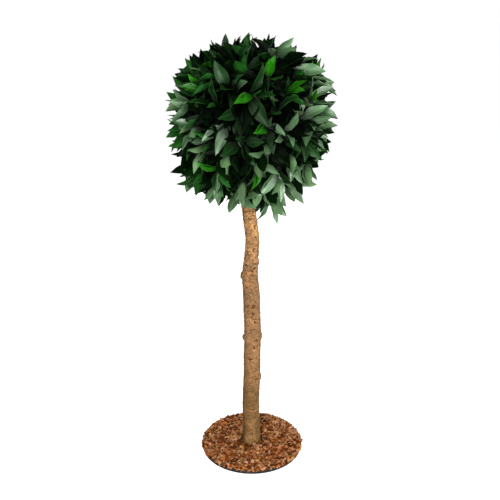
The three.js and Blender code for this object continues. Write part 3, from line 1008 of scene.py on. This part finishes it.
def bed_top(radius, edge):
    """The height of the bed of bark at some distances from its middle."""
    return BED_MIDDLE + (BED_EDGE - BED_MIDDLE) * np.clip(radius / edge, 0, 1) ** 2


def chip_template(index):
    """One flake of bark, made from a box that is cut finer and pushed uneven."""
    chip = add_mesh(bpy.ops.mesh.primitive_cube_add, f"chip_template_{index}", size=2)
    bpy.ops.object.mode_set(mode="EDIT")
    bpy.ops.mesh.select_all(action="SELECT")
    bpy.ops.mesh.subdivide(number_cuts=1)
    bpy.ops.transform.vertex_random(offset=0.4, uniform=0.9, normal=0.0, seed=index + 3)
    bpy.ops.object.mode_set(mode="OBJECT")
    points, quads, kinds, _ = template_arrays(chip)
    points[:, 1] *= 1 - 0.18 * points[:, 0] ** 2
    points[:, 2] *= 1 - 0.25 * np.abs(points[:, 1])
    uv = (points[quads.ravel()][:, :2] + 1.5) / 3
    return points, quads, kinds, uv


def chip_corners(points, chips):
    """Every chip's corners: the flake sized, curled, turned and laid in place."""
    value = columns(chips)
    size = value["size"]
    local = points[None] * size[:, None, :] / 2
    local[:, :, 2] += value["curl"][:, None] * (points[None, :, 0] ** 2) * size[:, None, 0]
    return np.einsum("nij,nvj->nvi", value["turn"], local) + value["place"][:, None, :]


def rotation(angle, first, second):
    """The matrix of a turn from one axis towards another, each given by its number."""
    matrix = np.eye(3)
    matrix[first, first] = matrix[second, second] = math.cos(angle)
    matrix[second, first] = math.sin(angle)
    matrix[first, second] = -math.sin(angle)
    return matrix


def chip_pose(random, spin, tilt, droop=0.0):
    """A turn about the upright with a seeded tilt and a droop of the far end, as a matrix."""
    lean, roll = droop + between(random, -tilt, tilt), between(random, -tilt, tilt)
    return rotation(spin, 0, 1) @ rotation(lean, 2, 0) @ rotation(roll, 1, 2)


def chip_at(random, radius, bearing, height, size, curl, turn):
    """One chip: its middle, its three sizes, how far its ends curl, its turn and its seeded tone."""
    tones = np.repeat(np.arange(len(CHIP_TONES)), list(CHIP_TONES.values()))
    return {
        "place": np.array([radius * math.cos(bearing), radius * math.sin(bearing), height]),
        "size": np.array(size),
        "curl": curl,
        "turn": turn,
        "kind": tones[int(random() * len(tones))],
    }


def bed_chips(random, settings, dish):
    """The chips of the bed, layer by layer, laid round the stem and the rim where they meet them."""
    edge = dish.radius - DISH_WALL
    inner = (STEM_STATIONS[0, 3] + 1) * MM
    in_layer = settings.count // CHIP_LAYERS
    chips = []
    for index in range(settings.count):
        layer, within = divmod(index, in_layer)
        share = math.sqrt((within + 0.5) / in_layer)
        radius = inner + (edge + 1 * MM - inner) * share + between(random, -3, 3) * MM
        bearing = within * GOLDEN_ANGLE + 2.1 * layer
        length = settings.length * between(random, 0.55, 1.4)
        width = length * between(random, 0.3, 0.6)
        spin = between(random, 0, math.pi)
        lift = 0.5 + 1.7 * layer
        if radius > edge - 5 * MM:
            spin = bearing + math.pi / 2 + between(random, -0.6, 0.6)
            lift += 3.4
        elif radius > edge - 9 * MM:
            lift += 1.6
        if radius < inner + 6 * MM:
            radius = inner + between(random, 3, 7) * MM
            spin = bearing + math.pi / 2 + between(random, -0.4, 0.4)
        height = float(bed_top(radius, edge)) + (lift + between(random, -0.8, 0.8)) * MM
        size = (length, width, between(random, 0.9, 2.2) * MM)
        curl = between(random, -0.06, 0.14)
        turn = chip_pose(random, spin, 0.25 + 0.2 * layer)
        chips.append(chip_at(random, radius, bearing, height, size, curl, turn))
    return chips


def rim_chips(random, settings, dish):
    """The chips that lie over the rim all round."""
    chips = []
    for index in range(RIM_CHIPS):
        bearing = math.tau * index / RIM_CHIPS + between(random, -0.04, 0.04)
        radius = dish.radius - DISH_WALL + between(random, 2.4, 4.6) * MM
        height = dish.height + between(random, 0.3, 1.6) * MM
        length = settings.length * between(random, 0.6, 1.2)
        spin = bearing + between(random, -1.2, 1.2)
        size = (length * 0.75, length * between(random, 0.3, 0.6), 1.6 * MM)
        curl = between(random, -0.25, -0.1)
        turn = chip_pose(random, spin, 0.2, between(random, 0.25, 0.6))
        chips.append(chip_at(random, radius, bearing, height, size, curl, turn))
    return chips


# Settings


def colour_setting(name, description, value):
    """A colour."""
    return FloatVectorProperty(name=name, description=description, default=value, size=3, subtype="COLOR")


def length_setting(name, description, value):
    """A length in metres."""
    return FloatProperty(name=name, description=description, default=value, unit="LENGTH")


def power_setting(name, description, value):
    """The power of a light in watts."""
    return FloatProperty(name=name, description=description, default=value, unit="POWER")


def count_setting(name, description, value):
    """A whole number of things."""
    return IntProperty(name=name, description=description, default=value)


class DishSettings(PropertyGroup):
    """The low dish at the foot."""

    radius: length_setting(
        "Radius", "Outer radius of the dish", (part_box("base_dish")[1][0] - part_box("base_dish")[0][0]) / 2
    )
    height: length_setting("Height", "Height of the dish's rim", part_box("base_dish")[1][2])
    colour: colour_setting("Colour", "Colour of the paint", (0.004, 0.004, 0.004))


class BarkSettings(PropertyGroup):
    """The chips of bark in the dish."""

    count: count_setting("Chips", "How many chips lie in the bed", 3900)
    length: length_setting("Length", "Length of a usual chip", 0.0150)
    orange: colour_setting("Orange", "Colour of the orange chips", (0.285, 0.091, 0.024))
    pink: colour_setting("Pink", "Colour of the pinkish tan chips", (0.370, 0.178, 0.090))
    tan: colour_setting("Tan", "Colour of the pale tan chips", (0.300, 0.150, 0.052))
    brown: colour_setting("Brown", "Colour of the brown chips", (0.122, 0.030, 0.0015))
    dark: colour_setting("Dark", "Colour of the darkest chips", (0.066, 0.015, 0.0003))


class StemSettings(PropertyGroup):
    """The natural wood stem."""

    relief: length_setting("Relief", "Depth of the bark's pebbles", 0.0012)
    bark_colour: colour_setting("Bark", "Colour of most of the bark", (0.131, 0.065, 0.0255))
    pebble_colour: colour_setting("Pebbles", "Colour of the raised pebbles", (0.203, 0.110, 0.0490))
    # The cracks and the scars are darker partly in their own colour and partly as painted shade
    crack_and_shade_colour: colour_setting("Cracks", "Colour of the cracks", (0.046, 0.019, 0.0030))
    scar_and_shade_colour: colour_setting("Scars", "Colour inside the scars", (0.038, 0.012, 0.002))
    fresh_colour: colour_setting("Fresh Bark", "Colour of the bark near the head", (0.257, 0.131, 0.0470))
    patch_colour: colour_setting("Patches", "Colour of the weathered patches", (0.088, 0.0485, 0.0210))
    foot_colour: colour_setting("Foot", "Colour of the bark near the foot", (0.057, 0.0295, 0.0070))


class LeafSettings(PropertyGroup):
    """The twigs and leaves of the clipped ball."""

    sprays: count_setting("Sprays", "Fine twigs that end in a spray of leaves", 125)
    leaves: count_setting("Leaves", "Leaves at the end of each fine twig", 6)
    inner_leaves: count_setting("Inner Leaves", "Leaves further down each fine twig", 5)
    shade_leaves: count_setting("Shade Leaves", "Leaves on each main twig inside", 6)
    tries: count_setting("Tries", "Turns tried to keep an outer leaf clear", 10)
    inner_tries: count_setting("Inner Tries", "Turns tried for an inner leaf", 5)
    length: length_setting("Length", "Length of a usual leaf", 0.091)
    width: FloatProperty(
        name="Width", description="Width as a share of the length", default=0.345, subtype="FACTOR"
    )
    most_reach: FloatProperty(
        name="Reach", description="How far out tips may stand, as a share of the outline", default=1.035
    )
    dark: colour_setting("Dark", "Colour of the darker leaves", (0.0026, 0.0150, 0.0024))
    middle: colour_setting("Middle", "Colour of the paler leaves", (0.0320, 0.0725, 0.0300))
    young: colour_setting("Young", "Colour of the fresh shoots", (0.0050, 0.060, 0.0006))
    under: colour_setting("Underside", "Colour of the undersides", (0.03, 0.06, 0.02))


class StageSettings(PropertyGroup):
    """Floor, lights and sky."""

    floor_size: length_setting("Floor", "Width of the floor", 60.0)
    key_power: power_setting("Key", "Power of the main light", 170.0)
    fill_power: power_setting("Fill", "Power of the fill light", 180.0)
    side_power: power_setting("Sides", "Power of the side and back lights", 120.0)
    sky_strength: FloatProperty(name="Sky", description="Strength of the light all round", default=0.035)


class TopiarySettings(PropertyGroup):
    """All the settings of the topiary."""

    dish: PointerProperty(type=DishSettings)
    bark: PointerProperty(type=BarkSettings)
    stem: PointerProperty(type=StemSettings)
    leaf: PointerProperty(type=LeafSettings)
    stage: PointerProperty(type=StageSettings)


# Operators


class TOPIARY_OT_dish(Operator):
    """Add the low black dish"""

    bl_idname = "topiary.add_dish"
    bl_label = "Add Dish"

    def execute(self, context):
        settings = context.scene.topiary.dish
        dish = add_mesh(
            bpy.ops.mesh.primitive_cylinder_add,
            "dish",
            vertices=144,
            radius=settings.radius,
            depth=settings.height,
            location=(0, 0, settings.height / 2),
        )
        bpy.ops.object.transform_apply(location=True, rotation=True, scale=True)
        bpy.ops.object.mode_set(mode="EDIT")
        bpy.ops.mesh.select_mode(type="FACE")
        if select_in_edit(dish, "faces", lambda face: face.normal.z > 0.9) != 1:
            raise RuntimeError("the dish has no single top face")
        bpy.ops.mesh.inset(thickness=DISH_WALL)
        depth = DISH_FLOOR - settings.height
        bpy.ops.mesh.extrude_region_move(TRANSFORM_OT_translate={"value": (0, 0, depth)})
        bpy.ops.mesh.select_mode(type="EDGE")

        def on_rim(edge):
            low, high = (vertex.co for vertex in edge.verts)
            on_wall = low.xy.length > settings.radius - DISH_WALL - 0.001
            return abs(low.z - high.z) < 1e-6 and on_wall and edge.calc_face_angle(0) > 0.5

        select_in_edit(dish, "edges", on_rim)
        bpy.ops.mesh.bevel(offset=0.0011, segments=3, profile=0.5)
        bpy.ops.object.mode_set(mode="OBJECT")
        settle(dish, ["base_dish"], [dish_material(settings)], 40)
        return {"FINISHED"}


class TOPIARY_OT_bed(Operator):
    """Add the bed of fine bark under the chips"""

    bl_idname = "topiary.add_bed"
    bl_label = "Add Bark Bed"

    def execute(self, context):
        edge = context.scene.topiary.dish.radius - DISH_WALL - 0.4 * MM
        hole = (STEM_STATIONS[0, 3] + 2.5) * MM
        radii = np.linspace(hole, edge, 20)
        profile = [(hole, DISH_FLOOR + 0.3 * MM), (edge, DISH_FLOOR + 0.3 * MM)]
        profile += [(radius, bed_top(radius, edge) - 2 * MM) for radius in radii[::-1]]
        circle = bpy.ops.mesh.primitive_circle_add
        # The bed is dark partly as painted shade in the gaps between the chips
        bed = add_mesh(circle, "bark_fines", vertices=len(profile), radius=1, fill_type="NGON")
        for vertex, (radius, height) in zip(bed.data.vertices, profile):
            vertex.co = (radius, 0, height)
        bpy.ops.object.mode_set(mode="EDIT")
        bpy.ops.mesh.select_all(action="SELECT")
        bpy.ops.mesh.spin(steps=120, angle=math.tau, center=(0, 0, 0), axis=(0, 0, 1), use_auto_merge=True)
        bpy.ops.mesh.select_all(action="SELECT")
        bpy.ops.mesh.remove_doubles(threshold=1e-5)
        bpy.ops.mesh.select_all(action="DESELECT")
        bpy.ops.mesh.select_interior_faces()
        bpy.ops.mesh.delete(type="FACE")
        bpy.ops.mesh.select_all(action="SELECT")
        bpy.ops.mesh.normals_make_consistent(inside=False)
        bpy.ops.object.mode_set(mode="OBJECT")
        for vertex in bed.data.vertices:
            if vertex.co.z > DISH_FLOOR + 2 * MM and vertex.co.xy.length < edge - 2 * MM:
                vertex.co.z += 1.4 * MM * noise.noise(vertex.co * 90)
        settle(bed, ["bark_bed"], [fines_and_shade_material()], 50)
        return {"FINISHED"}


class TOPIARY_OT_chips(Operator):
    """Add the loose bark chips"""

    bl_idname = "topiary.add_chips"
    bl_label = "Add Bark Chips"

    def execute(self, context):
        settings, dish = context.scene.topiary.bark, context.scene.topiary.dish
        random = seeded(CHIP_SEED)
        in_bed = bed_chips(random, settings, dish)
        on_rim = rim_chips(random, settings, dish)
        materials = [chip_material(f"Bark {name.title()}", getattr(settings, name)) for name in CHIP_TONES]
        for number in range(CHIP_PIECES):
            chips = in_bed[number::CHIP_PIECES] + on_rim[number::CHIP_PIECES]
            template = chip_template(number)
            piece = copies_of(f"bark_chips_{number + 1}", template, chip_corners(template[0], chips))
            settle(piece, ["bark_bed"], materials, 22)
            set_kinds(piece, np.repeat([chip["kind"] for chip in chips], len(template[1])))
        return {"FINISHED"}


class TOPIARY_OT_stem(Operator):
    """Add the wavy stem with its pebbled bark, knots and scars"""

    bl_idname = "topiary.add_stem"
    bl_label = "Add Stem"

    def execute(self, context):
        settings = context.scene.topiary.stem
        bottom, top = STEM_STATIONS[0, 0], STEM_STATIONS[-1, 0]
        grid = bpy.ops.mesh.primitive_grid_add
        stem = add_mesh(grid, "stem", x_subdivisions=112, y_subdivisions=560, size=1)
        mesh = stem.data
        points = corners_of(mesh)
        bearings = (points[:, 0] + 0.5) * math.tau
        heights = bottom + (points[:, 1] + 0.5) * (top - bottom)
        rolled = np.stack([np.cos(bearings), np.sin(bearings), heights], axis=1)
        mesh.vertices.foreach_set("co", rolled.ravel())
        bpy.ops.object.mode_set(mode="EDIT")
        bpy.ops.mesh.select_mode(type="VERT")
        bpy.ops.mesh.select_all(action="SELECT")
        bpy.ops.mesh.remove_doubles(threshold=1e-4)
        for level in (bottom, top):
            select_in_edit(stem, "verts", lambda vertex, level=level: abs(vertex.co.z - level) < 0.01)
            bpy.ops.mesh.edge_face_add()
        bpy.ops.mesh.select_all(action="SELECT")
        bpy.ops.mesh.normals_make_consistent(inside=False)
        bpy.ops.object.mode_set(mode="OBJECT")
        points = corners_of(mesh)
        bearings, heights = np.arctan2(points[:, 1], points[:, 0]), points[:, 2]
        x, y, radii = stem_at(heights).T
        ripple = 1 + STEM_RIPPLE * np.sin(3 * bearings + heights / 70) * np.sin(heights / 43)
        radii = radii * ripple + knot_swell(heights, bearings)
        dents, dark = scar_dents(heights, bearings, radii)
        relief = bark_relief(heights, bearings, radii)
        reach = radii + relief * settings.relief / MM - dents
        placed = np.stack([x + reach * np.cos(bearings), y + reach * np.sin(bearings), heights], axis=1)
        mesh.vertices.foreach_set("co", (placed * MM).ravel())
        mesh.update()
        # The relief for the colour: lower in the cracks and the dents, so that they take the dark crack
        # colour, partly as painted shade
        tone = np.clip(0.5 + 0.5 * relief - np.clip(dents, -0.2, 1.2) * 0.8, 0, 1)
        for name, values in (("relief", tone), ("scar", dark)):
            mesh.attributes.new(name, "FLOAT", "POINT").data.foreach_set("value", values)
        settle(stem, ["trunk"], [bark_material(settings)], 80)
        return {"FINISHED"}


class TOPIARY_OT_boughs(Operator):
    """Add the boughs inside the head and the twigs that grow from them"""

    bl_idname = "topiary.add_boughs"
    bl_label = "Add Boughs and Twigs"

    def execute(self, context):
        masses, _ = grow_twigs(context.scene.topiary.leaf)
        material = twig_material()
        for mass in masses:
            path = bough_path(mass)
            radii = np.linspace(*BOUGH_RADII, len(path))
            bough = limbs("bough_" + mass["name"] + "_wood", [list(zip(path, radii))], 3)
            settle(bough, ["bough_" + mass["name"]], [material], 60)
            twigs = limbs("twigs_" + mass["name"], mass["twigs"], 1)
            settle(twigs, ["foliage_" + mass["name"]], [material], 60)
        return {"FINISHED"}


class TOPIARY_OT_leaves(Operator):
    """Add the leaves of every mass of the clipped ball"""

    bl_idname = "topiary.add_leaves"
    bl_label = "Add Leaves"

    def execute(self, context):
        settings = context.scene.topiary.leaf
        masses, sprays = grow_twigs(settings)
        leaves = leaf_places(masses, sprays, settings)
        template = leaf_template()
        materials = []
        # The deep and inner leaves are the dark leaf's colour taken near to black, with little gloss:
        # painted shade
        for name, blade, rib, gloss in (
            ("Deep", scaled(settings.dark, 0.12), (0.003, 0.009, 0.002), 0.03),
            ("Dark", settings.dark, (0.02, 0.055, 0.015), 0.11),
            ("Middle", settings.middle, (0.07, 0.14, 0.045), 0.52),
            ("Young", settings.young, (0.030, 0.14, 0.005), 0.16),
            ("Inner", scaled(settings.dark, 0.15), (0.002, 0.006, 0.001), 0.04),
        ):
            materials.append(leaf_material(f"Leaf {name} Top", blade, rib, 0.37, gloss))
            under = tuple(
                0.5 * pale * min(1, own / 0.02) + 0.5 * own for pale, own in zip(settings.under, blade)
            )
            materials.append(leaf_material(f"Leaf {name} Underside", under, rib, 0.6, gloss * 0.5))
        for mass in masses:
            placed = leaves[mass["name"]]
            if not placed:
                raise RuntimeError(mass["name"] + " has no leaves")
            piece = copies_of("leaves_" + mass["name"], template, bent_leaves(template[0], placed))
            settle(piece, ["foliage_" + mass["name"]], materials, 60)
            kinds = np.array([leaf["kind"] for leaf in placed])
            set_kinds(piece, kinds[:, None] * 2 + template[2])
        return {"FINISHED"}


class TOPIARY_OT_stage(Operator):
    """Add the floor, the lights and the camera"""

    bl_idname = "topiary.add_stage"
    bl_label = "Add Stage"

    def execute(self, context):
        settings = context.scene.topiary.stage
        floor = add_mesh(bpy.ops.mesh.primitive_plane_add, "floor", size=settings.floor_size)
        material, tree, shader = new_material("Pale Floor", 0.9, 0.0)
        shader.inputs["Base Color"].default_value = (0.22, 0.22, 0.22, 1)
        shader.inputs["Emission Color"].default_value = (1, 1, 1, 1)
        seen = put(tree, "ShaderNodeLightPath").outputs["Is Camera Ray"]
        tree.links.new(seen, shader.inputs["Emission Strength"])
        floor.data.materials.append(material)
        world = bpy.data.worlds.new("Studio")
        world.use_nodes = True
        tree = world.node_tree
        background = tree.nodes["Background"]
        seen = put(tree, "ShaderNodeLightPath").outputs["Is Camera Ray"]
        strength = stepped(tree, seen, 0.0, 1.0, settings.sky_strength, 1.0)
        tree.links.new(strength, background.inputs["Strength"])
        background.inputs["Color"].default_value = (1, 1, 1, 1)
        context.scene.world = world
        for name, power, size, place in (
            ("key", settings.key_power, 1.2, (-0.8, -3.1, 1.6)),
            ("top", settings.key_power * 0.5, 1.6, (0.3, -2.4, 3.2)),
            ("fill", settings.fill_power, 1.2, (1.3, -2.8, 0.6)),
            ("left", settings.side_power * 0.5, 1.8, (-3.0, 1.0, 1.7)),
            ("right", settings.side_power, 1.8, (3.0, 1.0, 1.7)),
            ("back", settings.side_power * 1.4, 1.8, (0.3, 3.2, 1.7)),
        ):
            light = bpy.data.lights.new(name, "AREA")
            light.energy = power
            light.size = size
            lamp = linked(name, light)
            lamp.location = place
            lamp.rotation_euler = (AIM - Vector(place)).to_track_quat("-Z", "Y").to_euler()
        lens = bpy.data.cameras.new("camera")
        lens.lens = CAMERA_LENS
        lens.sensor_width = 36
        camera = linked("camera", lens)
        camera.location = CAMERA_PLACE
        camera.rotation_euler = (math.radians(90 - CAMERA_TILT), 0, 0)
        context.scene.camera = camera
        context.scene.view_settings.view_transform = "Standard"
        return {"FINISHED"}


class TOPIARY_PT_panel(Panel):
    """The topiary's pieces and their settings"""

    bl_idname = "TOPIARY_PT_panel"
    bl_label = "Bay Topiary"
    bl_space_type = "VIEW_3D"
    bl_region_type = "UI"
    bl_category = "Bay Topiary"

    def draw(self, context):
        for group, operators in (
            ("dish", ["topiary.add_dish"]),
            ("bark", ["topiary.add_bed", "topiary.add_chips"]),
            ("stem", ["topiary.add_stem"]),
            ("leaf", ["topiary.add_boughs", "topiary.add_leaves"]),
            ("stage", ["topiary.add_stage"]),
        ):
            settings = getattr(context.scene.topiary, group)
            box = self.layout.box()
            for name in settings.__annotations__:
                box.prop(settings, name)
            for operator in operators:
                box.operator(operator)


CLASSES = (
    DishSettings,
    BarkSettings,
    StemSettings,
    LeafSettings,
    StageSettings,
    TopiarySettings,
    TOPIARY_OT_dish,
    TOPIARY_OT_bed,
    TOPIARY_OT_chips,
    TOPIARY_OT_stem,
    TOPIARY_OT_boughs,
    TOPIARY_OT_leaves,
    TOPIARY_OT_stage,
    TOPIARY_PT_panel,
)


def register():
    """Add the topiary's settings, operators and panel."""
    for new in CLASSES:
        bpy.utils.register_class(new)
    bpy.types.Scene.topiary = PointerProperty(type=TopiarySettings)


def unregister():
    """Take them away again."""
    del bpy.types.Scene.topiary
    for old in reversed(CLASSES):
        bpy.utils.unregister_class(old)


def main():
    """Build the topiary and its stage."""
    register()
    bpy.ops.topiary.add_stage()
    bpy.ops.topiary.add_dish()
    bpy.ops.topiary.add_bed()
    bpy.ops.topiary.add_chips()
    bpy.ops.topiary.add_stem()
    bpy.ops.topiary.add_boughs()
    bpy.ops.topiary.add_leaves()


if __name__ == "__main__":
    main()
